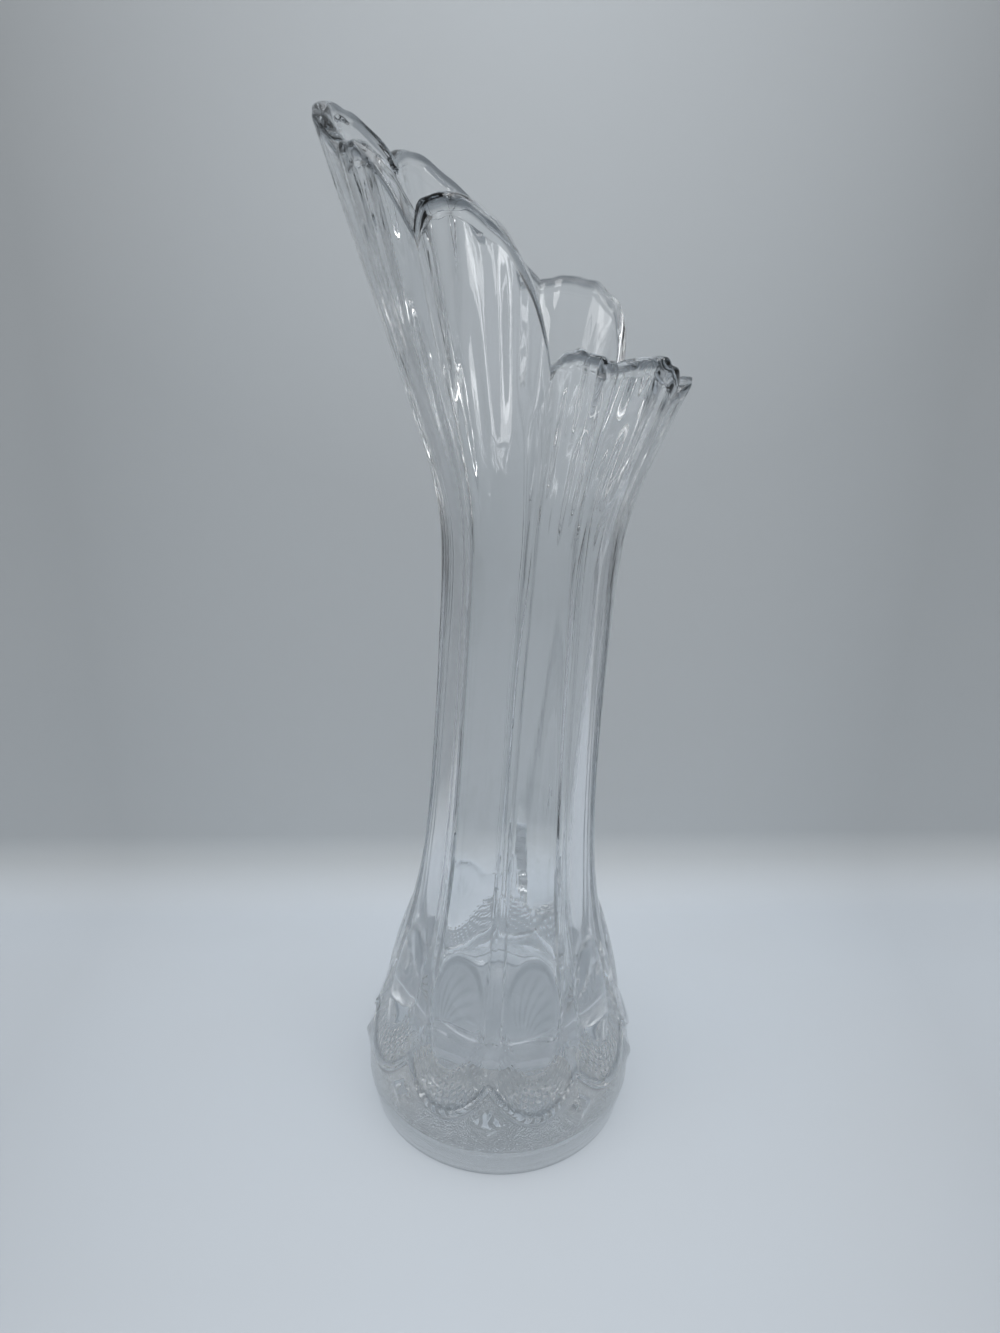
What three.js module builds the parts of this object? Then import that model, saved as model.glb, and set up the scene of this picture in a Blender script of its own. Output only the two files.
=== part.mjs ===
// Swung glass vase: one piece of pressed glass, stretched while hot and opened into nine lobes.
// Millimetres, +Z up, origin at the centre of the foot's flat underside, front along -Y.
import * as THREE from 'three';

// What swinging made of each rib, in degrees and millimetres: its turn, and the notch that it ends in
const NOTCH_TURNS = [1.1, 3.7, -10.9, -9.4, -12.4, -18.4, -12.4, 3.6, 13.6];
const NOTCH_DIPS = [17, 24, 9, 5, 9, 15, 16, 8, 10];

// The lobe that follows each notch: how far it stands above the slanted cut, and how much it tips over
const LOBE_RISES = [1.5, -12, 1.5, 2, -4, -2, -4, 1, -3];
const LOBE_TIPS = [1, 3, 0, 0, 0, -5, 9, -5, 7];

// Panels pressed by the mould, one for each rib
const PANELS = NOTCH_TURNS.length;
const FIRST_RIB_ANGLE = -44.6;

// Net of the surface: columns across a panel, and rows between the heights named further down
const COLUMNS_ACROSS_PANEL = [-1, -0.84, -0.6, -0.3, 0, 0.3, 0.6, 0.84];
const OUTSIDE_ROWS = { ring: 2, stipple: 4, medallion: 4, column: 7, mouth: 12 };
const INSIDE_ROWS = { mouth: 10, column: 6, bowl: 6, floor: 3 };
const UNDERSIDE_ROWS = 2;
const RIM_ROWS = 4;

// Foot and bulge
const FOOT_RADIUS = 52;
const FOOT_EDGE = 1.5;
const BULGE_RADIUS = 54.9;
const BULGE_HEIGHT = 21;
const FOOT_RING_HEIGHT = 13;

// Scalloped border, point band and medallion of each panel, and the lozenge under each rib
const SCALLOP_HEIGHT = 43;
const SCALLOP_DROP = 14;
const SCALLOP_RIB = 0.8;
const SCALLOP_RIB_WIDTH = 3;
const STIPPLE_RECESS = 0.6;
const FACET_LEVEL = 28;
const FACET_WIDTH = 16;
const FACET_HEIGHT = 15;
const FACET_PROUD = 1.1;
const POINT_BAND_RECESS = 0.5;
const MEDALLION_LIFT = 15;
const MEDALLION_LENGTH = 32;
const MEDALLION_SHARE = 0.7;
const MEDALLION_CROWN = 1.8;

// Column between the base and the mouth
const WAIST_RADIUS = 29.6;
const TAPER_LENGTH = 59;
const TAPER_POWER = 1.5;
const RIB_SHARE = 0.12;
const WEDGE_SHARE = 0.18;
const WEDGE_LENGTH = 26;
const WEDGE_END = 154;
const RIB_PROUD = 0.9;
const PANEL_SAG = 1.4;

// Mouth: a flaring cone, cut on a slant, with a lobe for each panel
const RIM_HEIGHT = 328;
const RIM_SLANT = 37;
const HIGH_SIDE_ANGLE = -95;
const FLARE_START = 250;
const FLARE_SLOPE = 0.39;
const FLARE_BEND = 9;
const STRETCH_START = 200;
const LOBE_FOLD = 4;
const LOBE_POWER = 2.3;

// Lean of the stretched piece: how far the mouth has moved towards +X, growing with the height
const MOUTH_OFFSET = 11;
const LEAN_POWER = 1.6;

// Glass thickness and the inside of the vase
const WALL_AT_RIM = 4.4;
const WALL_AT_WAIST = 4.8;
const WALL_AT_BASE = 40;
const WALL_THINNING_LENGTH = 25;
const BOTTOM_THICKNESS = 27;
const BOTTOM_ROUNDING = 8;
const INSIDE_FOLLOWS_RIBS = 0.3;

const GLASS = new THREE.MeshStandardMaterial({
  name: 'clear_glass',
  color: '#d3dade',
  roughness: 0.05,
  metalness: 0,
  transparent: true,
  opacity: 0.45,
});

const radians = THREE.MathUtils.degToRad;
const mix = THREE.MathUtils.lerp;
const smooth = THREE.MathUtils.smoothstep;
const medallionHeight = SCALLOP_HEIGHT + MEDALLION_LIFT + MEDALLION_LENGTH / 2;
const medallionTop = medallionHeight + MEDALLION_LENGTH / 2;

// Radius of the smooth outside, before ribs and ornament
function bodyRadius(height) {
  if (height < BULGE_HEIGHT) {
    return mix(FOOT_RADIUS, BULGE_RADIUS, smooth(height, -BULGE_HEIGHT, BULGE_HEIGHT) * 2 - 1);
  }
  const taper = Math.exp(-(((height - BULGE_HEIGHT) / TAPER_LENGTH) ** TAPER_POWER));
  const flare = Math.log(1 + Math.exp((height - FLARE_START) / FLARE_BEND));
  const column = mix(WAIST_RADIUS, BULGE_RADIUS, taper);
  return column + FLARE_SLOPE * FLARE_BEND * flare;
}

// Angle from the front of a point of a panel: its place in the mould, turned by the swinging
function swungAngle(nominal, panel, across) {
  const share = (across + 1) / 2;
  const mouldAngle = FIRST_RIB_ANGLE + (360 / PANELS) * (panel + share);
  const turn = mix(NOTCH_TURNS[panel], NOTCH_TURNS[(panel + 1) % PANELS], share);
  return mouldAngle + turn * smooth(nominal, medallionTop, RIM_HEIGHT);
}

// Height of the rim over a panel: the slanted cut, the lobe's dome and the notches beside it
function rimHeight(panel, across, angle) {
  const cut = RIM_HEIGHT + RIM_SLANT * Math.cos(radians(angle - HIGH_SIDE_ANGLE));
  const dip = NOTCH_DIPS[across < 0 ? panel : (panel + 1) % PANELS];
  const dome = LOBE_RISES[panel] + LOBE_TIPS[panel] * across;
  return cut + mix(dome, -dip, Math.abs(across) ** LOBE_POWER);
}

// Real height of a nominal height: scallops hang on the outside, and the mouth is pulled up to its rim
function realHeight(nominal, depth, panel, across, angle) {
  const belowScallop = smooth(nominal, FOOT_RING_HEIGHT, SCALLOP_HEIGHT);
  const aboveScallop = 1 - smooth(nominal, SCALLOP_HEIGHT, medallionTop);
  const hang = SCALLOP_DROP * (1 - depth) * (1 - across ** 2) * Math.min(belowScallop, aboveScallop);
  const pull = smooth(nominal, STRETCH_START, RIM_HEIGHT);
  return nominal - hang + (rimHeight(panel, across, angle) - RIM_HEIGHT) * pull;
}

// Lozenge under each rib: 1 at its peak, 0 outside it
function facetShare(nominal, across) {
  const sideways = ((1 - Math.abs(across)) * Math.PI * BULGE_RADIUS) / PANELS / FACET_WIDTH;
  const upwards = Math.abs(nominal - FACET_LEVEL) / FACET_HEIGHT;
  return Math.max(0, 1 - 2 * sideways - 2 * upwards);
}

// Relief of one panel on the outside, out of the smooth body
function outerRelief(nominal, across) {
  const edge = Math.abs(across);
  const scallop = SCALLOP_RIB * Math.exp(-(((nominal - SCALLOP_HEIGHT) / (SCALLOP_RIB_WIDTH / 2)) ** 2));
  if (nominal < SCALLOP_HEIGHT) {
    const band = smooth(nominal, FOOT_RING_HEIGHT, FOOT_RING_HEIGHT + FOOT_EDGE);
    return scallop - STIPPLE_RECESS * band + FACET_PROUD * facetShare(nominal, across);
  }
  const upright = (nominal - medallionHeight) / (MEDALLION_LENGTH / 2);
  const oval = Math.min(1, upright ** 2 + (across / MEDALLION_SHARE) ** 2);
  const medallion = MEDALLION_CROWN * (1 - oval);
  const opening = WEDGE_SHARE * smooth(nominal, SCALLOP_HEIGHT, SCALLOP_HEIGHT + WEDGE_LENGTH);
  const closing = mix(WEDGE_SHARE, RIB_SHARE, smooth(nominal, medallionHeight, WEDGE_END));
  const ribShare = Math.min(opening, closing);
  const ribTop = 1 - ribShare / 2;
  const fading = 1 - smooth(nominal, FLARE_START, RIM_HEIGHT);
  const rib = RIB_PROUD * fading * smooth(edge, ribTop - ribShare, ribTop);
  const fold = mix(PANEL_SAG, LOBE_FOLD, smooth(nominal, STRETCH_START, RIM_HEIGHT));
  const sag = fold * smooth(nominal, medallionHeight, medallionTop + MEDALLION_LENGTH) * edge ** LOBE_POWER;
  const recess = POINT_BAND_RECESS * (1 - smooth(nominal, SCALLOP_HEIGHT, medallionTop));
  return scallop + medallion + rib - sag - recess;
}

// Glass thickness at a height, measured outwards from the axis
function wallThickness(nominal) {
  const thinning = Math.exp(-Math.max(0, nominal - BULGE_HEIGHT) / WALL_THINNING_LENGTH);
  const base = mix(WALL_AT_WAIST, WALL_AT_BASE, thinning);
  return mix(base, WALL_AT_RIM, smooth(nominal, STRETCH_START, RIM_HEIGHT));
}

// Relief that shows on the inside: none at the base, nearly all of the fold at the mouth
function innerRelief(nominal, across) {
  const column = INSIDE_FOLLOWS_RIBS * smooth(nominal, medallionHeight, STRETCH_START);
  const share = mix(column, 1, smooth(nominal, STRETCH_START, RIM_HEIGHT));
  const fold = mix(PANEL_SAG, LOBE_FOLD, smooth(nominal, STRETCH_START, RIM_HEIGHT));
  return -fold * share * Math.abs(across) ** LOBE_POWER;
}

// Nominal heights from low to high, evenly spaced, without the first
function steps(low, high, count) {
  return Array.from({ length: count }, (_, i) => mix(low, high, (i + 1) / count));
}

// Rows of the wall at nominal heights, on the outside (depth 0) or the inside (depth 1)
function wallRows(heights, depth) {
  return heights.map((nominal) => ({ face: 'wall', nominal, depth }));
}

// Rows of the closed section, from the middle of the underside, over the rim, to the inside's bottom
function sectionRows() {
  const stippleStart = FOOT_RING_HEIGHT + FOOT_EDGE;
  const scallopFoot = SCALLOP_HEIGHT - SCALLOP_RIB_WIDTH / 2;
  const medallionStart = SCALLOP_HEIGHT + MEDALLION_LIFT;
  const bowlTop = BOTTOM_THICKNESS + BOTTOM_ROUNDING;
  const rimRadius = WALL_AT_RIM / 2;
  const rimStart = RIM_HEIGHT - rimRadius;
  const underside = [0, ...steps(0, 1, UNDERSIDE_ROWS)].map((share) => ({ face: 'underside', share }));
  const outside = [
    FOOT_EDGE,
    ...steps(FOOT_EDGE, FOOT_RING_HEIGHT, OUTSIDE_ROWS.ring),
    stippleStart,
    ...steps(stippleStart, scallopFoot, OUTSIDE_ROWS.stipple),
    SCALLOP_HEIGHT,
    scallopFoot + SCALLOP_RIB_WIDTH,
    medallionStart,
    ...steps(medallionStart, medallionTop, OUTSIDE_ROWS.medallion),
    ...steps(medallionTop, STRETCH_START, OUTSIDE_ROWS.column),
    ...steps(STRETCH_START, rimStart, OUTSIDE_ROWS.mouth),
  ];
  const rim = steps(0, Math.PI, RIM_ROWS).slice(0, -1).map((turn) => ({
    face: 'wall',
    nominal: rimStart + rimRadius * Math.sin(turn),
    depth: (1 - Math.cos(turn)) / 2,
  }));
  const inside = [
    bowlTop,
    ...steps(bowlTop, medallionTop, INSIDE_ROWS.bowl),
    ...steps(medallionTop, STRETCH_START, INSIDE_ROWS.column),
    ...steps(STRETCH_START, rimStart, INSIDE_ROWS.mouth),
  ].reverse();
  const floor = steps(Math.PI / 2, 0, INSIDE_ROWS.floor).map((turn) => ({ face: 'floor', turn }));
  return [...underside, ...wallRows(outside, 0), ...rim, ...wallRows(inside, 1), ...floor];
}

// One point of the glass: a section row at one column of one panel
function glassPoint(row, panel, across) {
  const mouldAngle = swungAngle(0, panel, across);
  if (row.face === 'underside') {
    return polar(row.share * (FOOT_RADIUS - FOOT_EDGE), mouldAngle, 0);
  }
  if (row.face === 'floor') {
    const bowlTop = BOTTOM_THICKNESS + BOTTOM_ROUNDING;
    const reach = bodyRadius(bowlTop) - wallThickness(bowlTop);
    return polar(reach * Math.sin(row.turn), mouldAngle, bowlTop - BOTTOM_ROUNDING * Math.cos(row.turn));
  }
  const angle = swungAngle(row.nominal, panel, across);
  const height = realHeight(row.nominal, row.depth, panel, across, angle);
  const body = bodyRadius(height);
  const outer = body + outerRelief(row.nominal, across);
  const inner = body - wallThickness(row.nominal) + innerRelief(row.nominal, across);
  return polar(mix(outer, inner, row.depth), angle, height);
}

// A point by its distance from the leaning axis, its angle from the front and its height
function polar(radius, angle, height) {
  const turn = radians(angle);
  const offset = MOUTH_OFFSET * (height / RIM_HEIGHT) ** LEAN_POWER;
  return new THREE.Vector3(radius * Math.sin(turn) + offset, -radius * Math.cos(turn), height);
}

// The vase: a lathe-turned blank whose points are moved to where pressing and swinging put them
function makeVase() {
  const rows = sectionRows();
  const columns = PANELS * COLUMNS_ACROSS_PANEL.length;
  const blankSection = rows.map((_, i) => {
    const turn = (Math.PI * i) / (rows.length - 1);
    return new THREE.Vector2(Math.sin(turn), -Math.cos(turn));
  });
  const geometry = new THREE.LatheGeometry(blankSection, columns);
  const position = geometry.attributes.position;
  for (let column = 0; column <= columns; column += 1) {
    const place = column % columns;
    const panel = Math.floor(place / COLUMNS_ACROSS_PANEL.length);
    const across = COLUMNS_ACROSS_PANEL[place % COLUMNS_ACROSS_PANEL.length];
    rows.forEach((row, i) => {
      const point = glassPoint(row, panel, across);
      position.setXYZ(column * rows.length + i, point.x, point.y, point.z);
    });
  }
  geometry.computeVertexNormals();
  const vase = new THREE.Mesh(geometry, GLASS);
  vase.name = 'glass_vase';
  return vase;
}

const part = new THREE.Group();
part.add(makeVase());

export default part;
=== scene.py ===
"""Swung glass vase: the pressed and stretched glass, its finish and a plain stage."""
from functools import reduce
from math import copysign, cos, pi, radians, sin, tan

import bpy
import numpy as np
from bpy.props import (
    FloatProperty,
    FloatVectorProperty,
    IntProperty,
    PointerProperty,
)
from mathutils import Matrix, Vector


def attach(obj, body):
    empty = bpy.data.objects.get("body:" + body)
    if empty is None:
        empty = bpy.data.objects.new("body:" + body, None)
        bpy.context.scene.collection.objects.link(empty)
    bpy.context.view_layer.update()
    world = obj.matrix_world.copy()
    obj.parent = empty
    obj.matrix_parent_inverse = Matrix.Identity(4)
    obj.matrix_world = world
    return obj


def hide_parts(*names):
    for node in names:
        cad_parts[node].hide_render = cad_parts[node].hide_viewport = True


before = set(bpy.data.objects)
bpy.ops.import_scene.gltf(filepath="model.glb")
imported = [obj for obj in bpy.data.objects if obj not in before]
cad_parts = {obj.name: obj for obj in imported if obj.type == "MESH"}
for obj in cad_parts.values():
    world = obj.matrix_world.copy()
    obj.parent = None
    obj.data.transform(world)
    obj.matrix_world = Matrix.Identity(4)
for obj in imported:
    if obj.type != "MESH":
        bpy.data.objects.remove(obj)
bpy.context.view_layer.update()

bl_info = {
    "name": "Swung Glass Vase",
    "version": (1, 0, 0),
    "blender": (4, 5, 0),
    "location": "View3D > Sidebar > Vase",
    "description": "Builds a swung glass vase with its pressed ornament, glass and stage",
    "category": "Object",
}

PANELS = 9
COLUMNS_PER_PANEL = 32
COLUMNS = PANELS * COLUMNS_PER_PANEL
MM = 0.001

# Rows of points, from the foot up the outside, over the rim and down the inside
ROWS = {
    "underside": 16,
    "foot_edge": 4,
    "foot_ring": 7,
    "ring_step": 3,
    "stipple": 16,
    "scallop_rib": 8,
    "medallions": 38,
    "column": 44,
    "mouth": 60,
    "rim_foot": 4,
    "rim": 12,
    "inside_rim": 14,
    "inside_mouth": 42,
    "inside_column": 30,
    "inside_base": 20,
    "bowl_floor": 9,
}
RIM_FOOT = 2 * MM
RIM_SQUARENESS = 0.6
SMOOTH_ANGLE = radians(27)

# Waves of the mouth: count round it, share of the height, and drift as they run down
WAVES = ((23, 0.3, 0.4), (37, 0.4, -0.7), (52, 0.3, 1))
WAVE_DRIFT = 6
WAVE_START = {"rim_height": 2.9, "crinkle": 1.7, "inside": 0.6}
RIM_RIPPLE_MEAN = 1.4
CRINKLE_MEAN = 1.75
CRINKLE_REACH = 30 * MM

# Margins of the pressed ornament, as shares of the scallop rib, rib flank or medallion
BAND_OVER_SCALLOP = 0.6
BAND_BESIDE_RIB = 0.8
BAND_ROUND_MEDALLION = 1.04
BAND_TOP = 0.5
MEDALLION_STEP = (-1.12, -0.92)
OFF_FACET = 0.12
SCALLOP_RIB_REACH = 0.75
# Painted shade lines beside the scallop rib, in shares of its width
RIB_SHADE_OFFSET = 0.85
RIB_SHADE_WIDTH = 0.25
RIM_LINE_SPAN = (0.5, 0.9)
STAR_EDGE = 0.9


def length(name, millimetres, description):
    """A length property whose default is given in millimetres."""
    return FloatProperty(
        name=name, default=millimetres * MM, unit="LENGTH", precision=5, description=description
    )


def share(name, default, description):
    """A plain number property, such as a share of a panel."""
    return FloatProperty(name=name, default=default, precision=4, description=description)


def per_panel(name, values, description):
    """One number for each panel or notch, in the order of the mould."""
    return FloatVectorProperty(name=name, size=PANELS, default=values, description=description)


def colour(name, values, description):
    """A colour property."""
    return FloatVectorProperty(
        name=name, subtype="COLOR", size=3, min=0, max=1, default=values, description=description
    )


# Sizes, finish and stage settings


class VaseSizes(bpy.types.PropertyGroup):
    """Sizes of the glass, before its finish."""

    foot_radius: length("Foot radius", 52, "Radius of the foot where it meets the table")
    foot_edge: length("Foot edge", 1.5, "Rounding of the foot's lower edge")
    ring_height: length("Foot ring", 13, "Height of the plain ring at the foot")
    bulge_radius: length("Bulge radius", 54.72, "Largest radius of the base")
    bulge_height: length("Bulge height", 21, "Height of the base's largest radius")
    scallop_height: length("Scallop height", 43, "Height where the scallops meet at the ribs")
    scallop_drop: length("Scallop drop", 14, "How far a scallop hangs below its ends")
    scallop_rib: length("Scallop rib", 0.8, "Height of the rib along the scallops")
    scallop_rib_width: length("Scallop rib width", 3, "Width of the rib along the scallops")
    stipple_recess: length("Stipple recess", 0.6, "Depth of the stippled band")
    facet_width: length("Facet width", 16, "Width of the lozenge under each rib")
    facet_height: length("Facet height", 15, "Height of the lozenge under each rib")
    facet_proud: length("Facet proud", 2.3, "How far the lozenge's peak stands out")
    facet_level: length("Facet level", 28, "Height of the lozenge's peak")
    point_recess: length("Point recess", 0.4, "Depth of the band of points round a medallion")
    point_pitch: length("Point pitch", 2.3, "Distance between points")
    medallion_lift: length("Medallion lift", 15, "Height of a medallion's foot over the scallop")
    medallion_length: length("Medallion length", 32, "Length of a medallion")
    medallion_share: share("Medallion width", 0.70, "Width of a medallion, as a share of its panel")
    medallion_crown: length("Medallion crown", 1.8, "How far a medallion bulges")
    medallion_edge: length("Medallion edge", 0.25, "Step at a medallion's edge")
    waist_radius: length("Waist radius", 29.6, "Radius of the column")
    taper_length: length("Taper length", 59, "Height over which the base narrows to the column")
    taper_power: share("Taper power", 1.5, "How late the base narrows")
    rib_share: share("Rib width", 0.12, "Half width of a rib on the column, as a share of a panel")
    wedge_share: share("Wedge width", 0.18, "Half width of the wedge between medallions")
    wedge_length: length("Wedge length", 26, "Height over which a wedge opens")
    wedge_end: length("Wedge end", 154, "Height where a wedge has narrowed to the rib")
    rib_flank: share("Rib flank", 0.09, "Width of a rib's flank, as a share of a panel")
    rib_proud: length("Rib proud", 0.9, "How far a rib stands out")
    panel_sag: length("Panel sag", 1.4, "How far a panel falls back beside its ribs")
    rim_height: length("Rim height", 328, "Mean height of the mouth")
    rim_slant: length("Rim slant", 37, "How far the slanted cut rises above its mean")
    high_side: FloatProperty(
        name="High side",
        default=radians(-95),
        subtype="ANGLE",
        description="Angle of the mouth's high side from the front",
    )
    flare_start: length("Flare start", 250, "Height where the mouth opens")
    flare_slope: share("Flare slope", 0.39, "Steepness of the open mouth")
    flare_bend: length("Flare bend", 9, "Height over which the flare begins")
    stretch_start: length("Stretch start", 200, "Height above which the glass was pulled")
    lobe_fold: length("Lobe fold", 4, "How far the notches fold inwards at the rim")
    lobe_power: share("Lobe power", 2.3, "How square a lobe's outline is")
    mouth_offset: length("Mouth offset", 11, "How far the mouth leans to the right")
    lean_power: share("Lean power", 1.6, "How late the vase leans")
    wall_rim: length("Wall at the rim", 4.4, "Glass thickness at the rim")
    wall_waist: length("Wall at the waist", 4.8, "Glass thickness of the column")
    wall_base: length("Wall at the base", 40, "Glass thickness at the base")
    wall_thinning: length("Wall thinning", 25, "Height over which the wall gets thin")
    bottom: length("Bottom", 27, "Glass under the bowl")
    bottom_rounding: length("Bottom rounding", 16, "Rounding of the bowl's floor")
    inside_follows: share("Inside follows", 0.3, "Share of the ribs that shows on the inside")
    rim_bead: length("Rim bead", 0.8, "Swelling of the inside at the fire-polished edge")
    bead_height: length("Bead height", 5, "Height of that swelling")
    rim_crinkle: length("Rim crinkle", 0.6, "Waviness of the fire-polished edge")
    mouth_waves: length("Mouth waves", 0.6, "Waves of the inside that run down from the rim")
    mouth_wave_length: length("Mouth wave length", 90, "How far the waves run down from the rim")
    star_depth: length("Star depth", 0.25, "Depth of the rays under the foot")
    star_radius: length("Star radius", 31, "Radius of the star under the foot")
    star_rays: IntProperty(name="Star rays", default=36, description="Rays under the foot")
    first_rib: FloatProperty(
        name="First rib",
        default=radians(-44.6),
        subtype="ANGLE",
        description="Angle of the first rib from the front",
    )
    notch_turns: per_panel(
        "Notch turns",
        (1.1, 3.7, -10.9, -9.4, -12.4, -18.4, -12.4, 3.6, 13.6),
        "How far swinging turned each rib at the rim, in degrees",
    )
    notch_dips: per_panel(
        "Notch dips", (17, 24, 9, 5, 9, 15, 16, 8, 10), "Depth of each notch in millimetres"
    )
    lobe_rises: per_panel(
        "Lobe rises",
        (1.5, -12, 1.5, 2, -4, -2, -4, 1, -3),
        "Height of each lobe over the slanted cut in millimetres",
    )
    lobe_tips: per_panel(
        "Lobe tips",
        (1, 3, 0, 0, 0, -5, 9, -5, 7),
        "How much each lobe tips over in millimetres",
    )


class GlassFinish(bpy.types.PropertyGroup):
    """Colour and finish of the glass, with painted shade in its recesses and painted dark lines
    along its edges.
    """

    tint: colour("Tint", (0.975, 0.98, 0.985), "Colour of the clear glass")
    deep_tint: colour(
        "Deep tint", (0.94, 0.953, 0.96), "Colour of the glass where it drew together"
    )
    # Painted shade: colour of the glass in its recesses and between its points
    recess_shade_tint: colour(
        "Pressed tint", (0.70, 0.72, 0.735), "Colour of the glass in recesses and between points"
    )
    # Painted shade: colour of the dark lines along rim, ribs and foot
    edge_shade_tint: colour(
        "Line tint", (0.36, 0.385, 0.41), "Colour of the lines along rim, ribs and foot"
    )
    depth_tint: colour("Depth tint", (0.46, 0.5, 0.52), "Colour that thick glass turns to")
    depth_density: share(
        "Depth density", 3.8, "How fast thick glass turns to its depth tint, per metre"
    )
    shadow_tint: colour(
        "Shadow tint", (0.98, 0.985, 0.988), "Light that passes through to the floor"
    )
    ior: share("Refraction", 1.5, "Index of refraction of pressed soda glass")
    roughness: share("Roughness", 0.01, "Roughness of the fire-polished surface")
    draw_relief: length("Draw lines", 0.06, "Height of the fine lines that swinging drew")
    point_height: length("Point height", 0.2, "Height of the points round a medallion")
    stipple_height: length(
        "Stipple height", 0.18, "Height of the stipple between scallops and foot"
    )


class StageLook(bpy.types.PropertyGroup):
    """Floor, backdrop, lamps and camera."""

    floor_colour: colour("Floor", (0.60, 0.65, 0.705), "Colour of the pale floor")
    # Painted shade: colour of the floor where the light falls off far from the vase
    far_shade_colour: colour("Far floor", (0.16, 0.17, 0.18), "Colour of the floor far from the vase")
    wall_colour: colour("Wall", (0.505, 0.537, 0.56), "Colour of the wall behind")
    # Painted light: colour of a pale pool of light on the wall's upper middle
    light_pool_colour: colour("Glow", (0.66, 0.70, 0.73), "Colour of the wall's pale upper middle")
    room_colour: colour("Room", (0.19, 0.197, 0.205), "Colour of the room around")
    ceiling_colour: colour("Ceiling", (0.92, 0.935, 0.95), "Colour of the room above")
    wall_distance: length("Wall distance", 137, "Distance of the wall behind the vase")
    wall_turn: FloatProperty(
        name="Wall turn", default=radians(3), subtype="ANGLE", description="Turn of the wall"
    )
    wall_bend: length("Wall bend", 30, "Radius of the bend between floor and wall")
    stage_width: length("Stage width", 1100, "Width of the floor and the wall")
    wall_height: length("Wall height", 900, "Height of the wall")
    lens: share("Lens", 27.03, "Focal length in millimetres on a 36 mm sensor")
    pitch: FloatProperty(
        name="Pitch", default=radians(24.5), subtype="ANGLE", description="Camera looks down"
    )
    roll: FloatProperty(
        name="Roll", default=radians(1.3), subtype="ANGLE", description="Camera roll"
    )
    eye: FloatVectorProperty(
        name="Eye",
        size=3,
        default=(-0.003, -0.321, 0.338),
        subtype="XYZ",
        description="Camera place",
    )


# Form of the glass


def mix(a, b, t):
    """Linear blend of two values."""
    return a + (b - a) * t


def smooth(x, low, high):
    """Smooth step from 0 at low to 1 at high."""
    t = np.clip((x - low) / (high - low), 0, 1)
    return t * t * (3 - 2 * t)


def squared(x):
    """Turns a circle's sine or cosine into that of a square with round corners."""
    return copysign(abs(x) ** RIM_SQUARENESS, x)


def least(*values):
    """The smallest of several values, point by point."""
    return reduce(np.minimum, values)


def steps(low, high, count):
    """Evenly spaced values from low to high, without the first."""
    return [mix(low, high, (i + 1) / count) for i in range(count)]


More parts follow.
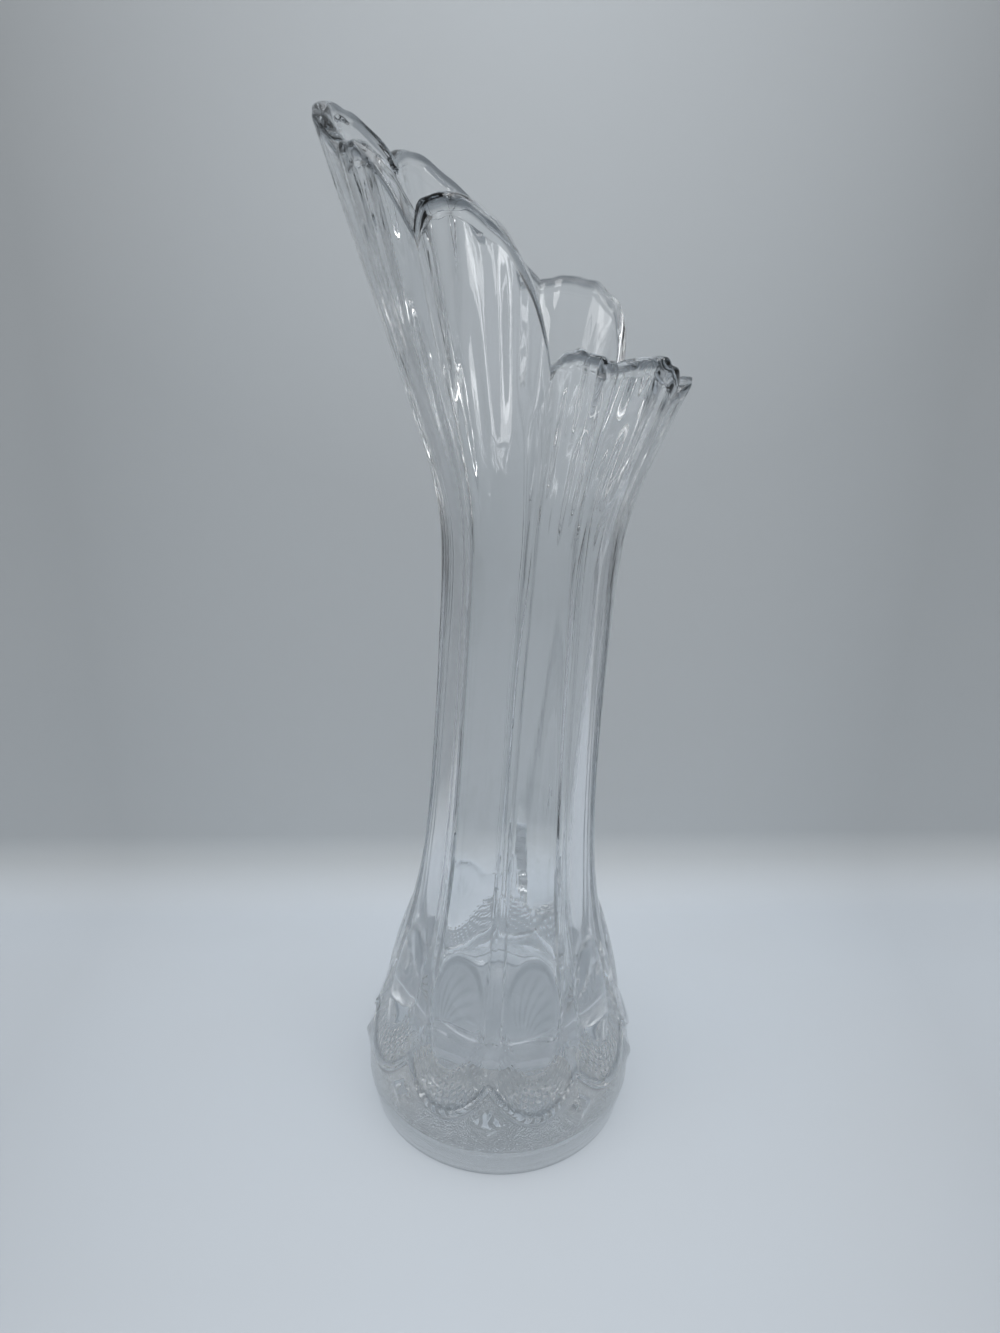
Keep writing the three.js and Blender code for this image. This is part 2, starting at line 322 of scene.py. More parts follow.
class SwungGlass:
    """Places every point of the glass: pressed in the mould, then swung and opened."""

    def __init__(self, sizes):
        self.s = sizes
        column = np.arange(COLUMNS)
        self.column = column[None, :]
        self.panel = (column // COLUMNS_PER_PANEL)[None, :]
        self.across = (2 * (column % COLUMNS_PER_PANEL) / COLUMNS_PER_PANEL - 1)[None, :]
        self.round = 2 * pi * self.column / COLUMNS
        half_medallion = sizes.medallion_length / 2
        self.medallion_mid = sizes.scallop_height + sizes.medallion_lift + half_medallion
        self.medallion_top = self.medallion_mid + half_medallion
        self.bowl_top = sizes.bottom + sizes.bottom_rounding

    def body_radius(self, height):
        """Radius of the smooth outside."""
        s = self.s
        base = mix(
            s.foot_radius, s.bulge_radius, smooth(height, -s.bulge_height, s.bulge_height) * 2 - 1
        )
        fall = np.clip((height - s.bulge_height) / s.taper_length, 0, None) ** s.taper_power
        opening = np.logaddexp(0, (height - s.flare_start) / s.flare_bend)
        flare = s.flare_slope * s.flare_bend * opening
        column = mix(s.waist_radius, s.bulge_radius, np.exp(-fall)) + flare
        return np.where(height < s.bulge_height, base, column)

    def angle(self, nominal):
        """Angle from the front after the swing."""
        s = self.s
        turns = np.radians(s.notch_turns)
        turn = mix(turns[self.panel], turns[(self.panel + 1) % PANELS], (self.across + 1) / 2)
        return s.first_rib + self.round + turn * smooth(nominal, self.medallion_top, s.rim_height)

    def rim(self, angle):
        """Height of the rim over each column."""
        s = self.s
        dips = np.array(s.notch_dips) * MM
        rises = np.array(s.lobe_rises) * MM
        tips = np.array(s.lobe_tips) * MM
        cut = s.rim_height + s.rim_slant * np.cos(angle - s.high_side)
        dip = np.where(self.across < 0, dips[self.panel], dips[(self.panel + 1) % PANELS])
        dome = rises[self.panel] + tips[self.panel] * self.across
        waves = self.waves(s.rim_height, WAVE_START["rim_height"])
        ripple = s.rim_crinkle * (RIM_RIPPLE_MEAN + waves)
        return cut - ripple + mix(dome, -dip, np.abs(self.across) ** s.lobe_power)

    def hang(self, nominal):
        """How far the scallops pull the rows of the base down."""
        s = self.s
        below = smooth(nominal, s.ring_height, s.scallop_height)
        above = 1 - smooth(nominal, s.scallop_height, self.medallion_top)
        return s.scallop_drop * (1 - self.across**2) * np.minimum(below, above)

    def height(self, nominal, angle, depth):
        """Real height of a nominal height; the scallops hang on the outside alone."""
        s = self.s
        pull = smooth(nominal, s.stretch_start, s.rim_height)
        hang = self.hang(nominal) * (1 - depth)
        return nominal - hang + (self.rim(angle) - s.rim_height) * pull

    def fold(self, nominal):
        """How far a panel falls back towards its ribs."""
        s = self.s
        return mix(s.panel_sag, s.lobe_fold, smooth(nominal, s.stretch_start, s.rim_height))

    def facet(self, nominal):
        """Lozenge under each rib, with four flat faces."""
        s = self.s
        sideways = (1 - np.abs(self.across)) * pi * s.bulge_radius / PANELS
        upwards = np.abs(nominal - self.hang(nominal) - s.facet_level)
        return np.clip(1 - 2 * sideways / s.facet_width - 2 * upwards / s.facet_height, 0, 1)

    def rib(self, nominal):
        """Rib between two panels: a point at the scallops, a wedge, then a narrow rib."""
        s = self.s
        wedge_top = s.scallop_height + s.wedge_length
        opening = s.wedge_share * smooth(nominal, s.scallop_height, wedge_top)
        closing = mix(s.wedge_share, s.rib_share, smooth(nominal, self.medallion_mid, s.wedge_end))
        half = np.minimum(opening, closing)
        fading = 1 - smooth(nominal, s.flare_start, s.rim_height)
        edge = np.abs(self.across)
        return half, s.rib_proud * fading * smooth(edge, 1 - half - s.rib_flank, 1 - half)

    def oval(self, nominal):
        """Squared distance from a medallion's middle, 1 at its edge."""
        s = self.s
        upright = (nominal - self.medallion_mid) / (s.medallion_length / 2)
        return upright, upright**2 + (self.across / s.medallion_share) ** 2

    def point_band(self, nominal):
        """How far inside the U of points round a medallion's sides and foot."""
        s = self.s
        upright, oval = self.oval(nominal)
        half, _ = self.rib(nominal)
        panel_half = pi * s.bulge_radius / PANELS
        above_scallop = nominal - s.scallop_height - s.scallop_rib_width * BAND_OVER_SCALLOP
        rib_side = 1 - half - s.rib_flank * BAND_BESIDE_RIB
        beside_rib = (rib_side - np.abs(self.across)) * panel_half
        round_oval = (np.sqrt(oval) - BAND_ROUND_MEDALLION) * s.medallion_length / 2
        below_top = (BAND_TOP - upright) * s.medallion_length / 2
        return least(above_scallop, beside_rib, round_oval, below_top)

    def pattern(self, nominal, depth):
        """For each point: place along the U, row of the U, and how far inside the band."""
        s = self.s
        upright, oval = self.oval(nominal)
        size = s.medallion_length / 2 / s.point_pitch
        turn = np.arctan2(self.across / s.medallion_share, -upright)
        inside = np.where(depth == 0, self.point_band(nominal), -s.point_pitch)
        return np.stack([turn * size, (np.sqrt(oval) - 1) * size, inside / MM], axis=-1)

    def medallion_place(self, nominal, depth):
        """Place in a medallion, 1 at its edge, and whether the point is on the outside."""
        upright, _ = self.oval(nominal)
        flat = 0 * nominal * self.across
        across = self.across / self.s.medallion_share + flat
        return np.stack([across, upright + flat, (depth == 0) + flat], axis=-1)

    def scallop_rib_shade(self, nominal, depth):
        """Painted shade: two fine dark lines beside the scallops' rib."""
        s = self.s
        off_rib = np.abs(nominal - s.scallop_height)
        beside = (off_rib - s.scallop_rib_width * RIB_SHADE_OFFSET) / s.scallop_rib_width
        return np.exp(-((beside / RIB_SHADE_WIDTH) ** 2)) * (depth == 0) + 0 * self.across

    def painted_edge_shade(self, nominal, depth):
        """Painted shade: the two dark lines along the fire-polished rim and the one along the
        foot's edge.
        """
        s = self.s
        rim_start = s.rim_height - s.wall_rim / 2
        beside_middle = smooth(np.abs(2 * depth - 1), *RIM_LINE_SPAN)
        rim = smooth(nominal, rim_start - MM, rim_start) * beside_middle
        above_edge = smooth(nominal, s.foot_edge / 10, s.foot_edge / 2)
        foot = above_edge * (1 - smooth(nominal, s.foot_edge, 2 * s.foot_edge)) * (depth == 0)
        return rim + foot + 0 * self.across

    def rib_shade_lines(self, nominal, depth):
        """Painted shade: the dark line along each flank of a rib, which fades out towards base and
        mouth.
        """
        s = self.s
        half, _ = self.rib(nominal)
        beside = (np.abs(self.across) - (1 - half - s.rib_flank / 2)) / (s.rib_flank / 2)
        above_base = smooth(nominal, self.medallion_mid, self.medallion_top)
        below_mouth = 1 - smooth(nominal, s.flare_start, s.rim_height)
        return np.exp(-(beside**2)) * above_base * below_mouth * (depth == 0)

    def stipple_band(self, nominal, depth):
        """How far inside the stippled band between the foot ring and the scallops."""
        s = self.s
        above_ring = nominal - s.ring_height - s.foot_edge
        below_scallop = s.scallop_height - s.scallop_rib_width - nominal
        off_facet = (OFF_FACET - self.facet(nominal)) * s.facet_width
        inside = least(above_ring, below_scallop, off_facet)
        return np.where(depth == 0, inside, -s.ring_height) / MM

    def outer_relief(self, nominal):
        """Ornament on the outside, out of the smooth body."""
        s = self.s
        edge = np.abs(self.across)
        rib_line = (nominal - s.scallop_height) / (s.scallop_rib_width / 2)
        scallop = s.scallop_rib * np.exp(-(rib_line**2))
        band = smooth(nominal, s.ring_height, s.ring_height + s.foot_edge)
        below = -s.stipple_recess * band + self.facet(nominal) * s.facet_proud

        _, oval = self.oval(nominal)
        step = s.medallion_edge * smooth(-oval, *MEDALLION_STEP)
        crown = s.medallion_crown * np.clip(1 - oval, 0, 1) + step
        _, rib = self.rib(nominal)
        settle = smooth(nominal, self.medallion_mid, self.medallion_top + s.medallion_length)
        sag = self.fold(nominal) * settle * edge**s.lobe_power
        sunk = s.point_recess * smooth(self.point_band(nominal), 0, s.point_pitch / 3)
        above = crown + rib - sag - sunk
        return scallop + np.where(nominal < s.scallop_height, below, above)

    def inner_relief(self, nominal):
        """What shows of the ribs and folds on the inside."""
        s = self.s
        column = s.inside_follows * smooth(nominal, self.medallion_mid, s.stretch_start)
        follow = mix(column, 1, smooth(nominal, s.stretch_start, s.rim_height))
        return -self.fold(nominal) * follow * np.abs(self.across) ** s.lobe_power

    def wall(self, nominal):
        """Glass thickness."""
        s = self.s
        thinning = np.exp(-np.clip(nominal - s.bulge_height, 0, None) / s.wall_thinning)
        base = mix(s.wall_waist, s.wall_base, thinning)
        return mix(base, s.wall_rim, smooth(nominal, s.stretch_start, s.rim_height))

    def waves(self, nominal, start):
        """Uneven upright waves between -1 and 1 that drift as they run down."""
        drift = WAVE_DRIFT * (self.s.rim_height - nominal) / self.s.mouth_wave_length
        return sum(
            part * np.sin(count * self.round + start * count + drift * turn)
            for count, part, turn in WAVES
        )

    def crinkle(self, nominal):
        """How far the fire-polished edge is drawn in."""
        s = self.s
        near = smooth(nominal, s.rim_height - CRINKLE_REACH, s.rim_height)
        waves = self.waves(nominal, WAVE_START["crinkle"])
        return -near * s.rim_crinkle * (CRINKLE_MEAN + waves) / 2

    def polar(self, radius, angle, height):
        """Points by their distance from the leaning axis, their angle and their height."""
        s = self.s
        height = height + 0 * angle
        offset = s.mouth_offset * (height / s.rim_height) ** s.lean_power
        return np.stack(
            [radius * np.sin(angle) + offset, -radius * np.cos(angle) + 0 * height, height], axis=-1
        )

    def underside(self, shares):
        """Flat foot with a star of rays pressed into it."""
        s = self.s
        shares = np.array(shares)[:, None]
        ray = np.abs((self.round * s.star_rays / (2 * pi)) % 1 * 2 - 1)
        radius = shares * (s.foot_radius - s.foot_edge)
        middle = smooth(radius, 0, s.star_radius / 3)
        reach = middle * (1 - smooth(radius, s.star_radius * STAR_EDGE, s.star_radius))
        rise = s.star_depth * ray * reach
        return self.polar(radius, s.first_rib + self.round, rise)

    def floor(self, turns):
        """Rounded floor of the bowl."""
        s = self.s
        turns = np.array(turns)[:, None]
        reach = self.body_radius(self.bowl_top) - self.wall(self.bowl_top)
        height = self.bowl_top - s.bottom_rounding * np.cos(turns)
        return self.polar(reach * np.sin(turns), s.first_rib + self.round, height)

    def wall_rows(self, heights, depths):
        """Rows of the wall, from the outside (depth 0) to the inside (depth 1)."""
        s = self.s
        nominal = np.array(heights)[:, None]
        depth = np.array(depths)[:, None]
        angle = self.angle(nominal)
        height = self.height(nominal, angle, depth)
        body = self.body_radius(height)
        bead_foot = s.rim_height - s.bead_height
        bead = s.rim_bead * smooth(nominal, bead_foot, bead_foot + 2 * s.rim_bead)
        outer = body + self.outer_relief(nominal)
        run = smooth(nominal, s.rim_height - s.mouth_wave_length, s.rim_height)
        waves = s.mouth_waves * run * self.waves(nominal, WAVE_START["inside"])
        inner = body - self.wall(nominal) + self.inner_relief(nominal) - bead + waves
        foot = np.clip(1 - nominal / s.foot_edge, 0, 1)
        outer = outer - s.foot_edge * (1 - np.sqrt(1 - foot**2))
        radius = mix(outer, inner, depth) + self.crinkle(nominal)
        # Stored for the material; the lines beside the scallop rib and along rim, foot and ribs are
        # painted shade
        self.patterns = {
            "points": self.pattern(nominal, depth),
            "medallion": self.medallion_place(nominal, depth),
            "stipple": self.stipple_band(nominal, depth),
            "scallop_shade_line": self.scallop_rib_shade(nominal, depth),
            "edge": self.painted_edge_shade(nominal, depth),
            "ribs": self.rib_shade_lines(nominal, depth),
        }
        return self.polar(radius, angle, height)

    def points(self):
        """All rows, from the row beside the underside's middle to the row beside the bowl's."""
        s = self.s
        rim_radius = s.wall_rim / 2
        rim_start = s.rim_height - rim_radius
        stipple_start = s.ring_height + s.foot_edge
        rib_foot = s.scallop_height - s.scallop_rib_width * SCALLOP_RIB_REACH
        rib_top = s.scallop_height + s.scallop_rib_width * SCALLOP_RIB_REACH
        bead_start = s.rim_height - 2 * s.bead_height
        outside = [
            *[s.foot_edge * (1 - cos(t)) for t in steps(0, pi / 2, ROWS["foot_edge"])],
            *steps(s.foot_edge, s.ring_height, ROWS["foot_ring"]),
            *steps(s.ring_height, stipple_start, ROWS["ring_step"]),
            *steps(stipple_start, rib_foot, ROWS["stipple"]),
            *steps(rib_foot, rib_top, ROWS["scallop_rib"]),
            *steps(rib_top, self.medallion_top, ROWS["medallions"]),
            *steps(self.medallion_top, s.stretch_start, ROWS["column"]),
            *steps(s.stretch_start, rim_start - RIM_FOOT, ROWS["mouth"]),
            *steps(rim_start - RIM_FOOT, rim_start, ROWS["rim_foot"]),
        ]
        turns = steps(0, pi, ROWS["rim"])[:-1]
        rim = [rim_start + rim_radius * squared(sin(t)) for t in turns]
        inside = [
            self.bowl_top,
            *steps(self.bowl_top, self.medallion_top, ROWS["inside_base"]),
            *steps(self.medallion_top, s.stretch_start, ROWS["inside_column"]),
            *steps(s.stretch_start, bead_start, ROWS["inside_mouth"]),
            *steps(bead_start, rim_start, ROWS["inside_rim"]),
        ][::-1]
        heights = outside + rim + inside
        depths = [0] * len(outside) + [(1 - squared(cos(t))) / 2 for t in turns] + [1] * len(inside)
        under = self.underside(steps(0, 1, ROWS["underside"]))
        wall = self.wall_rows(heights, depths)
        bowl = self.floor(steps(pi / 2, 0, ROWS["bowl_floor"])[:-1])
        self.first_wall_row = under.shape[0]
        return np.concatenate([under, wall, bowl])

    def poles(self):
        """Middle of the underside and of the bowl's floor."""
        return (0, 0, 0), self.polar(np.zeros((1, 1)), np.zeros((1, 1)), self.s.bottom)[0, 0]


def deselect():
    """Leaves no object selected."""
    for item in bpy.context.selected_objects:
        item.select_set(False)


def blow(name, glass):
    """A closed sphere of glass whose rings become the rows of the vase."""
    grid = glass.points()
    rings = grid.shape[0]
    deselect()
    bpy.ops.mesh.primitive_uv_sphere_add(segments=COLUMNS, ring_count=rings + 1, radius=1)
    vase = bpy.context.object
    vase.name = vase.data.name = name
    place = np.empty(len(vase.data.vertices) * 3, np.float32)
    vase.data.vertices.foreach_get("co", place)
    place = place.reshape(-1, 3).astype(float)
    row = np.rint(np.arccos(np.clip(-place[:, 2], -1, 1)) * (rings + 1) / pi).astype(int)
    turn = np.arctan2(place[:, 0], -place[:, 1])
    column = np.rint(turn * COLUMNS / (2 * pi)).astype(int) % COLUMNS
    bottom, top = row == 0, row == rings + 1
    inner = np.clip(row - 1, 0, rings - 1)
    place[:] = grid[inner, column]
    place[bottom], place[top] = glass.poles()
    vase.data.vertices.foreach_set("co", place.astype(np.float32).ravel())
    vase.data.update()
    for pattern, values in glass.patterns.items():
        wall_row = np.clip(inner - glass.first_wall_row, 0, len(values) - 1)
        kind, part = ("FLOAT_VECTOR", "vector") if values.ndim == 3 else ("FLOAT", "value")
        stored = vase.data.attributes.new(pattern, kind, "POINT")
        stored.data.foreach_set(part, values[wall_row, column].astype(np.float32).ravel())
    return vase


# Materials

# Noise of the drawn lines: how much it is drawn out upwards, its scale and its detail
FINE_LINES = (0.06, 260.0, 3.0)
BROAD_LINES = (0.2, 42.0, 2.0)
FINE_SHARE, BROAD_SHARE = 0.35, 0.65
CLOUD_START, CLOUD_GAIN = 0.35, 2.2
PEBBLE_SCALE = 1100.0

# How strongly each mark takes its painted shade, and how much soft light passes the glass unbent
VALLEY_SHADE = 0.6
STIPPLE_SHADE = 0.1
RIB_LINE_SHADE = 0.7
FAN_SHADE = 0.8
ARC_SHADE = 0.9
UNBENT_SHARE = 0.8

# Painted refraction in a medallion: fan of dark rays and dark arc, in a medallion whose edge is at
# 1
HEART_LEFT, HEART_DOWN = 0.3, 0.5
HEART_START, HEART_GAIN = 0.2, 2.5
RAY_CURL = 0.7
RAY_COUNT = 10
RAY_END, RAY_GAIN = 0.85, 3
ARC_REACH, ARC_WIDTH = 0.95, 0.1
ARC_RISE = 2.5

# Painted light and shade on the floor and wall of the stage: where each starts and over how many
# metres it grows
FALLOFF_START, FALLOFF_SPAN = 0.34, 0.4
WALL_START, WALL_SPAN = 0.03, 0.042
LIGHT_POOL_HEIGHT, LIGHT_POOL_RADIUS = 0.47, 0.26
FRONT_SHADE_START, FRONT_SHADE_SPAN, FRONT_SHADE = 0.07, 0.17, 0.15
SIDE_GAIN, SIDE_SHADE, SIDE_RISE = 24, 0.2, 0.4
SHADE_COLOUR = (0.1, 0.1, 0.1)
GRAIN_SCALE, GRAIN_DETAIL = 9.0, 4.0
WORN_START, WORN_GAIN = 0.4, 0.3
WORN_COLOUR = (0.5, 0.5, 0.5)


class Value:
    """A socket that takes part in arithmetic; each step adds a Math node."""

    def __init__(self, graph, socket):
        self.graph = graph
        self.socket = socket

    def math(self, operation, *others):
        """Adds one Math node."""
        return self.graph.add("ShaderNodeMath", {"operation": operation}, {0: self, **dict(others)})

    def __add__(self, other):
        return self.math("ADD", (1, other))

    def __sub__(self, other):
        return self.math("SUBTRACT", (1, other))

    def __mul__(self, other):
        return self.math("MULTIPLY", (1, other))

    def __truediv__(self, other):
        return self.math("DIVIDE", (1, other))

    def __pow__(self, other):
        return self.math("POWER", (1, other))

    def __rsub__(self, other):
        return self.graph.add("ShaderNodeMath", {"operation": "SUBTRACT"}, {0: other, 1: self})

    __radd__ = __add__
    __rmul__ = __mul__

    def limited(self, low=0.0, high=1.0):
        """The value kept between two limits."""
        return self.math("MAXIMUM", (1, low)).math("MINIMUM", (1, high))


class Graph:
    """A node tree that is built from expressions."""

    def __init__(self, tree):
        self.tree = tree
        tree.nodes.clear()

    def add(self, kind, settings=None, inputs=None, output=0):
        """Adds a node, sets it up, feeds its sockets and returns one of its outputs."""
        node = self.tree.nodes.new(kind)
        for name, value in (settings or {}).items():
            setattr(node, name, value)
        for key, value in (inputs or {}).items():
            if isinstance(value, Value):
                self.tree.links.new(value.socket, node.inputs[key])
            else:
                node.inputs[key].default_value = value
        return Value(self, node.outputs[output]) if len(node.outputs) else node

    def blend(self, factor, first, second):
        """Colour between two colours."""
        return self.add(
            "ShaderNodeMix",
            {"data_type": "RGBA"},
            {"Factor": factor, 6: as_rgba(first), 7: as_rgba(second)},
            output=2,
        )

    def place(self, scale=(1, 1, 1)):
        """Object coordinates, stretched."""
        here = self.add("ShaderNodeTexCoord", output=3)
        return self.add("ShaderNodeMapping", None, {"Vector": here, "Scale": scale})

    def attribute(self, name, output=2):
        """A value stored on the mesh; output 1 gives it as a vector."""
        return self.add("ShaderNodeAttribute", {"attribute_name": name}, output=output)

    def noise(self, place, scale, detail):
        """Noise between 0 and 1."""
        inputs = {"Vector": place, "Scale": scale, "Detail": detail}
        return self.add("ShaderNodeTexNoise", None, inputs)

    def drawn_noise(self, stretch, scale, detail):
        """Noise that is drawn out upwards, as the glass was."""
        return self.noise(self.place((1, 1, stretch)), scale, detail)

    def axis(self, vector, name):
        """One part of a vector."""
        return self.add("ShaderNodeSeparateXYZ", None, {"Vector": vector}, output="XYZ".index(name))


def as_rgba(value):
    """A colour with its alpha, or a link as it is."""
    return value if isinstance(value, Value) else (*value[:3], 1)


def new_material(name):
    """An empty material and its graph."""
    material = bpy.data.materials.new(name)
    material.use_nodes = True
    return material, Graph(material.node_tree)


def medallion_painted_refraction(g):
    """Painted refraction: a fan of fine curved dark rays in each medallion, where the star under
    the foot shows through, and a painted dark arc round its head.
    """
    place = g.attribute("medallion", output=1)
    across, upright, outside = (g.axis(place, name) for name in "XYZ")
    reach = (across * across + upright * upright) ** 0.5
    beside, over = across + HEART_LEFT, upright + HEART_DOWN
    from_heart = (beside * beside + over * over) ** 0.5
    turn = over.math("ARCTAN2", (1, beside)) + from_heart * RAY_CURL
    rays = (turn * RAY_COUNT).math("SINE") ** 2
    within = ((RAY_END - reach) * RAY_GAIN).limited()
    off_heart = (from_heart * HEART_GAIN - HEART_START).limited()
    fan_shade = rays * rays * within * off_heart * FAN_SHADE
    ring = (1 - ((reach - ARC_REACH) / ARC_WIDTH) ** 2).limited()
    arc_shade = ring * (upright * ARC_RISE).limited() * ARC_SHADE
    return (fan_shade + arc_shade) * outside.limited()


def clear_glass(finish):
    """Fire-polished clear glass with drawn lines and pressed marks, painted shade in its recesses
    and between points, painted refraction in its medallions and painted grey lines at its edges.
    """
    material, g = new_material("clear_glass")
    fine, broad = g.drawn_noise(*FINE_LINES), g.drawn_noise(*BROAD_LINES)
    drawn_lines = (fine * FINE_SHARE + broad * BROAD_SHARE) * finish.draw_relief
    points = g.attribute("points", output=1)
    along, row, inside = (g.axis(points, name) for name in "XYZ")
    dots = (along * pi).math("SINE") ** 2 * (row * pi).math("SINE") ** 2
    pebbles = g.add(
        "ShaderNodeTexVoronoi", {"feature": "F1"}, {"Vector": g.place(), "Scale": PEBBLE_SCALE}
    )
    stipple, scallop_shade_line, edge, ribs = map(g.attribute, ("stipple", "scallop_shade_line", "edge", "ribs"))
    pressed = dots * inside.limited() * finish.point_height
    grainy = pebbles * stipple.limited() * finish.stipple_height
    normal = g.add(
        "ShaderNodeBump",
        None,
        {"Strength": 1.0, "Distance": 1.0, "Height": drawn_lines + pressed + grainy},
    )
    cloud = ((broad - CLOUD_START) * CLOUD_GAIN).limited()
    # Painted shade between the points and in the stippled band, with the medallions' painted
    # refraction
    valley_shade = inside.limited() * (1 - dots) * VALLEY_SHADE
    recesses = (valley_shade + stipple.limited() * STIPPLE_SHADE + medallion_painted_refraction(g)).limited()
    clear = g.blend(cloud, finish.tint, finish.deep_tint)
    shaded_glass = g.blend(recesses, clear, finish.recess_shade_tint)
    # Painted shade: dark lines beside the scallop rib, along rim and foot and on the rib flanks
    painted_dark_lines = (scallop_shade_line + edge + ribs * RIB_LINE_SHADE).limited()
    glass = g.add(
        "ShaderNodeBsdfPrincipled",
        None,
        {
            "Base Color": g.blend(painted_dark_lines, shaded_glass, finish.edge_shade_tint),
            "Roughness": finish.roughness,
            "IOR": finish.ior,
            "Transmission Weight": 1.0,
            "Normal": normal,
        },
    )
    passed = g.add("ShaderNodeBsdfTransparent", None, {"Color": as_rgba(finish.shadow_tint)})
    lamp_ray, soft_ray = (g.add("ShaderNodeLightPath", output=i) for i in (1, 2))
    unbent = lamp_ray + soft_ray * UNBENT_SHARE
    look = g.add("ShaderNodeMixShader", None, {0: unbent, 1: glass, 2: passed})
    depth = g.add(
        "ShaderNodeVolumeAbsorption",
        None,
        {"Color": as_rgba(finish.depth_tint), "Density": finish.depth_density},
    )
    g.add("ShaderNodeOutputMaterial", None, {"Surface": look, "Volume": depth})
    return material


def stage_surface(look):
    """Matt floor with painted light falloff, darker far away, and a wall with a painted pool of
    light in its pale middle, painted shade towards the front and the sides, seen from its front.
    """
    material, g = new_material("stage_sweep")
    here = g.place()
    x, y, z = (g.axis(here, name) for name in "XYZ")
    # Painted light falloff: the floor darkens far from the vase
    far = (((x * x + y * y) ** 0.5 - FALLOFF_START) / FALLOFF_SPAN).limited()
    floor = g.blend(far, look.floor_colour, look.far_shade_colour)
    back = y - x * tan(look.wall_turn)
    up = ((back + z - look.wall_distance + WALL_START) / WALL_SPAN).limited()
    # Painted pool of light on the wall's upper middle
    light_pool = (1 - ((x * x + (z - LIGHT_POOL_HEIGHT) ** 2) ** 0.5) / LIGHT_POOL_RADIUS).limited()
    grain = g.noise(here, GRAIN_SCALE, GRAIN_DETAIL)
    wall = g.blend(light_pool, look.wall_colour, look.light_pool_colour)
    shade = g.blend(up, floor, wall)
    # Painted shade: the floor darker towards the front, floor and wall darker towards the sides and
    # more so higher up
    front = ((FRONT_SHADE_START - y) / FRONT_SHADE_SPAN).limited() * FRONT_SHADE
    side = (x * x * SIDE_GAIN).limited() * (SIDE_SHADE + (z * SIDE_RISE).limited())
    painted_shading = g.blend((side + front).limited(), shade, SHADE_COLOUR)
    worn = g.blend(((grain - WORN_START) * WORN_GAIN).limited(), painted_shading, WORN_COLOUR)
    matt = g.add(
        "ShaderNodeBsdfPrincipled",
        None,
        {"Base Color": worn, "Roughness": 0.75, "Specular IOR Level": 0.2},
    )
    clear = g.add("ShaderNodeBsdfTransparent")
    behind = g.add("ShaderNodeNewGeometry", output=6)
    seen = g.add("ShaderNodeMixShader", None, {0: behind, 1: matt, 2: clear})
    g.add("ShaderNodeOutputMaterial", None, {"Surface": seen})
    return material


# Operators

# Lamps: name, place, width and depth, power in watts
LAMPS = (
    ("lamp_above", (0.0, 0.05, 1.2), (1.7, 1.5), 9.5),
    ("lamp_left", (-0.9, -0.5, 0.7), (0.3, 0.9), 2.6),
    ("lamp_right", (0.8, -0.6, 0.8), (0.2, 0.8), 2.4),
)
LAMP_AIM = (0, 0, 0.15)
CEILING_START, CEILING_GAIN = 0.2, 1.4
GLASS_BOUNCES = 24
GLOSSY_BOUNCES = 12
BEND_SEGMENTS = 12
SENSOR_WIDTH = 36


class VASE_OT_glass(bpy.types.Operator):
    """Press the glass, swing it out long and open its lobes"""

    bl_idname = "vase.glass"
    bl_label = "Make Glass Vase"

    def execute(self, context):
        glass = SwungGlass(context.scene.vase_sizes)
        vase = blow("swung_glass", glass)
        bpy.ops.object.shade_smooth_by_angle(angle=SMOOTH_ANGLE)
        vase.data.materials.append(clear_glass(context.scene.vase_finish))
        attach(vase, "root")
        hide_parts("glass_vase")
        return {"FINISHED"}


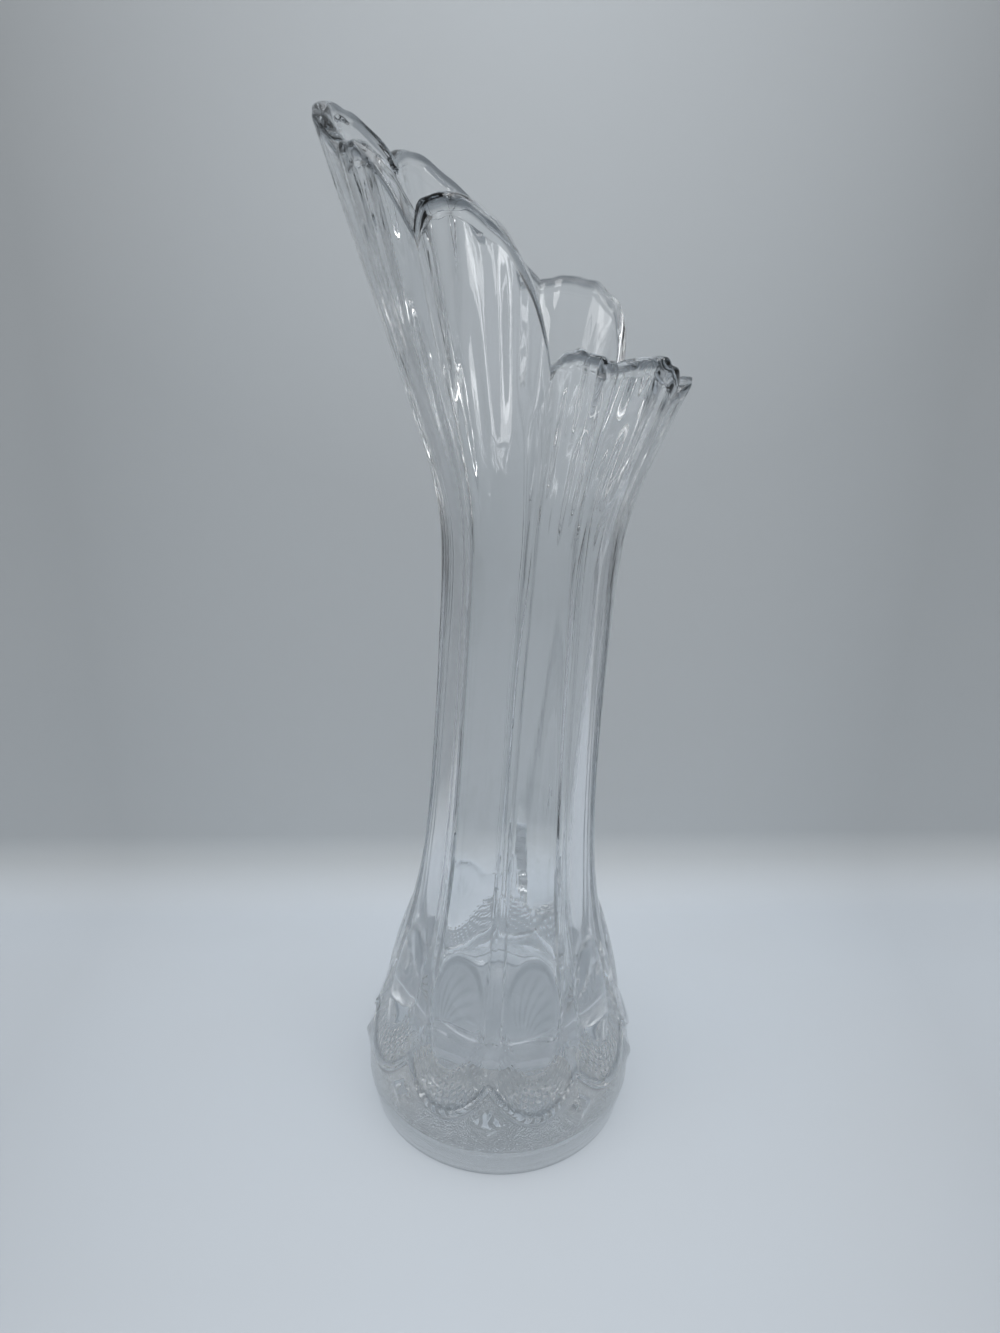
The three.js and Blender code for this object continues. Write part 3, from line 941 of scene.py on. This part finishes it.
class VASE_OT_stage(bpy.types.Operator):
    """Lay out the floor, the wall behind, the lamps and the camera"""

    bl_idname = "vase.stage"
    bl_label = "Make Stage"

    def execute(self, context):
        look = context.scene.vase_stage
        self.make_sweep(look)
        self.make_lamps()
        self.make_room(context.scene, look)
        self.make_camera(context.scene, look)
        return {"FINISHED"}

    def make_sweep(self, look):
        """A floor whose far edge is pulled up into a wall and rounded."""
        deselect()
        bpy.ops.mesh.primitive_plane_add(size=1)
        sweep = bpy.context.object
        sweep.name = sweep.data.name = "stage_sweep"
        depth = look.stage_width / 2 + look.wall_distance
        sweep.data.transform(Matrix.Diagonal((look.stage_width, depth, 1, 1)))
        sweep.data.transform(Matrix.Translation((0, look.wall_distance - depth / 2, 0)))
        bpy.ops.object.mode_set(mode="EDIT")
        bpy.ops.mesh.select_mode(type="EDGE")
        far = look.wall_distance - MM
        self.select_edges(sweep, lambda a, b: min(a.y, b.y) > far)
        bpy.ops.mesh.extrude_edges_move(TRANSFORM_OT_translate={"value": (0, 0, look.wall_height)})
        self.select_edges(sweep, lambda a, b: min(a.y, b.y) > far and max(a.z, b.z) < MM)
        bpy.ops.mesh.bevel(offset=look.wall_bend, segments=BEND_SEGMENTS)
        bpy.ops.object.mode_set(mode="OBJECT")
        sweep.data.transform(Matrix.Rotation(look.wall_turn, 4, "Z"))
        bpy.ops.object.shade_smooth()
        sweep.data.materials.append(stage_surface(look))

    def select_edges(self, item, wanted):
        """Selects the edges whose two ends pass a test."""
        bpy.ops.mesh.select_all(action="DESELECT")
        bpy.ops.object.mode_set(mode="OBJECT")
        for edge in item.data.edges:
            first, second = (item.data.vertices[i].co for i in edge.vertices)
            edge.select = wanted(first, second)
        bpy.ops.object.mode_set(mode="EDIT")

    def make_lamps(self):
        """Soft lamps: a wide one above, unseen through the glass, and a tall one at each side."""
        for name, place, size, power in LAMPS:
            data = bpy.data.lights.new(name, "AREA")
            data.shape = "RECTANGLE"
            data.size, data.size_y = size
            data.energy = power
            lamp = bpy.data.objects.new(name, data)
            bpy.context.collection.objects.link(lamp)
            lamp.location = place
            lamp.visible_transmission = name != "lamp_above"
            aim = Vector(LAMP_AIM) - Vector(place)
            lamp.rotation_euler = aim.to_track_quat("-Z", "Y").to_euler()

    def make_room(self, scene, look):
        """Grey room with a pale ceiling, and enough light bounces for the glass."""
        world = bpy.data.worlds.new("room")
        world.use_nodes = True
        g = Graph(world.node_tree)
        above = g.axis(g.add("ShaderNodeTexCoord"), "Z")
        upper = (above * CEILING_GAIN - CEILING_START).limited()
        room = g.blend(upper, look.room_colour, look.ceiling_colour)
        light = g.add("ShaderNodeBackground", None, {"Color": room, "Strength": 1.0})
        g.add("ShaderNodeOutputWorld", None, {"Surface": light})
        scene.world = world
        scene.view_settings.view_transform = "Standard"
        scene.cycles.max_bounces = GLASS_BOUNCES
        scene.cycles.transmission_bounces = GLASS_BOUNCES
        scene.cycles.glossy_bounces = GLOSSY_BOUNCES
        scene.cycles.transparent_max_bounces = GLASS_BOUNCES
        scene.cycles.caustics_reflective = False
        scene.cycles.caustics_refractive = False

    def make_camera(self, scene, look):
        """The photograph's camera, above and close in front."""
        data = bpy.data.cameras.new("camera")
        data.lens, data.sensor_width = look.lens, SENSOR_WIDTH
        camera = bpy.data.objects.new("camera", data)
        bpy.context.collection.objects.link(camera)
        ahead = Vector((0, cos(look.pitch), -sin(look.pitch)))
        level = Vector((1, 0, 0))
        above = level.cross(ahead)
        right = cos(look.roll) * level + sin(look.roll) * above
        up = cos(look.roll) * above - sin(look.roll) * level
        turned = Matrix((right, up, -ahead)).transposed().to_4x4()
        camera.matrix_world = Matrix.Translation(look.eye) @ turned
        scene.camera = camera


class VASE_PT_panel(bpy.types.Panel):
    """Steps of the vase, in order"""

    bl_idname = "VASE_PT_panel"
    bl_label = "Swung Glass Vase"
    bl_space_type = "VIEW_3D"
    bl_region_type = "UI"
    bl_category = "Vase"

    def draw(self, context):
        for step in STEPS:
            self.layout.operator(step.bl_idname)
        self.layout.prop(context.scene.vase_finish, "tint")
        self.layout.prop(context.scene.vase_sizes, "rim_height")


STEPS = (VASE_OT_glass, VASE_OT_stage)
CLASSES = (VaseSizes, GlassFinish, StageLook, *STEPS, VASE_PT_panel)


def register():
    """Adds the classes and the scene's settings."""
    for item in CLASSES:
        bpy.utils.register_class(item)
    bpy.types.Scene.vase_sizes = PointerProperty(type=VaseSizes)
    bpy.types.Scene.vase_finish = PointerProperty(type=GlassFinish)
    bpy.types.Scene.vase_stage = PointerProperty(type=StageLook)


def unregister():
    """Takes them away again."""
    for name in ("vase_sizes", "vase_finish", "vase_stage"):
        delattr(bpy.types.Scene, name)
    for item in reversed(CLASSES):
        bpy.utils.unregister_class(item)


def main():
    """Builds everything."""
    register()
    bpy.ops.vase.glass()
    bpy.ops.vase.stage()


if __name__ == "__main__":
    main()
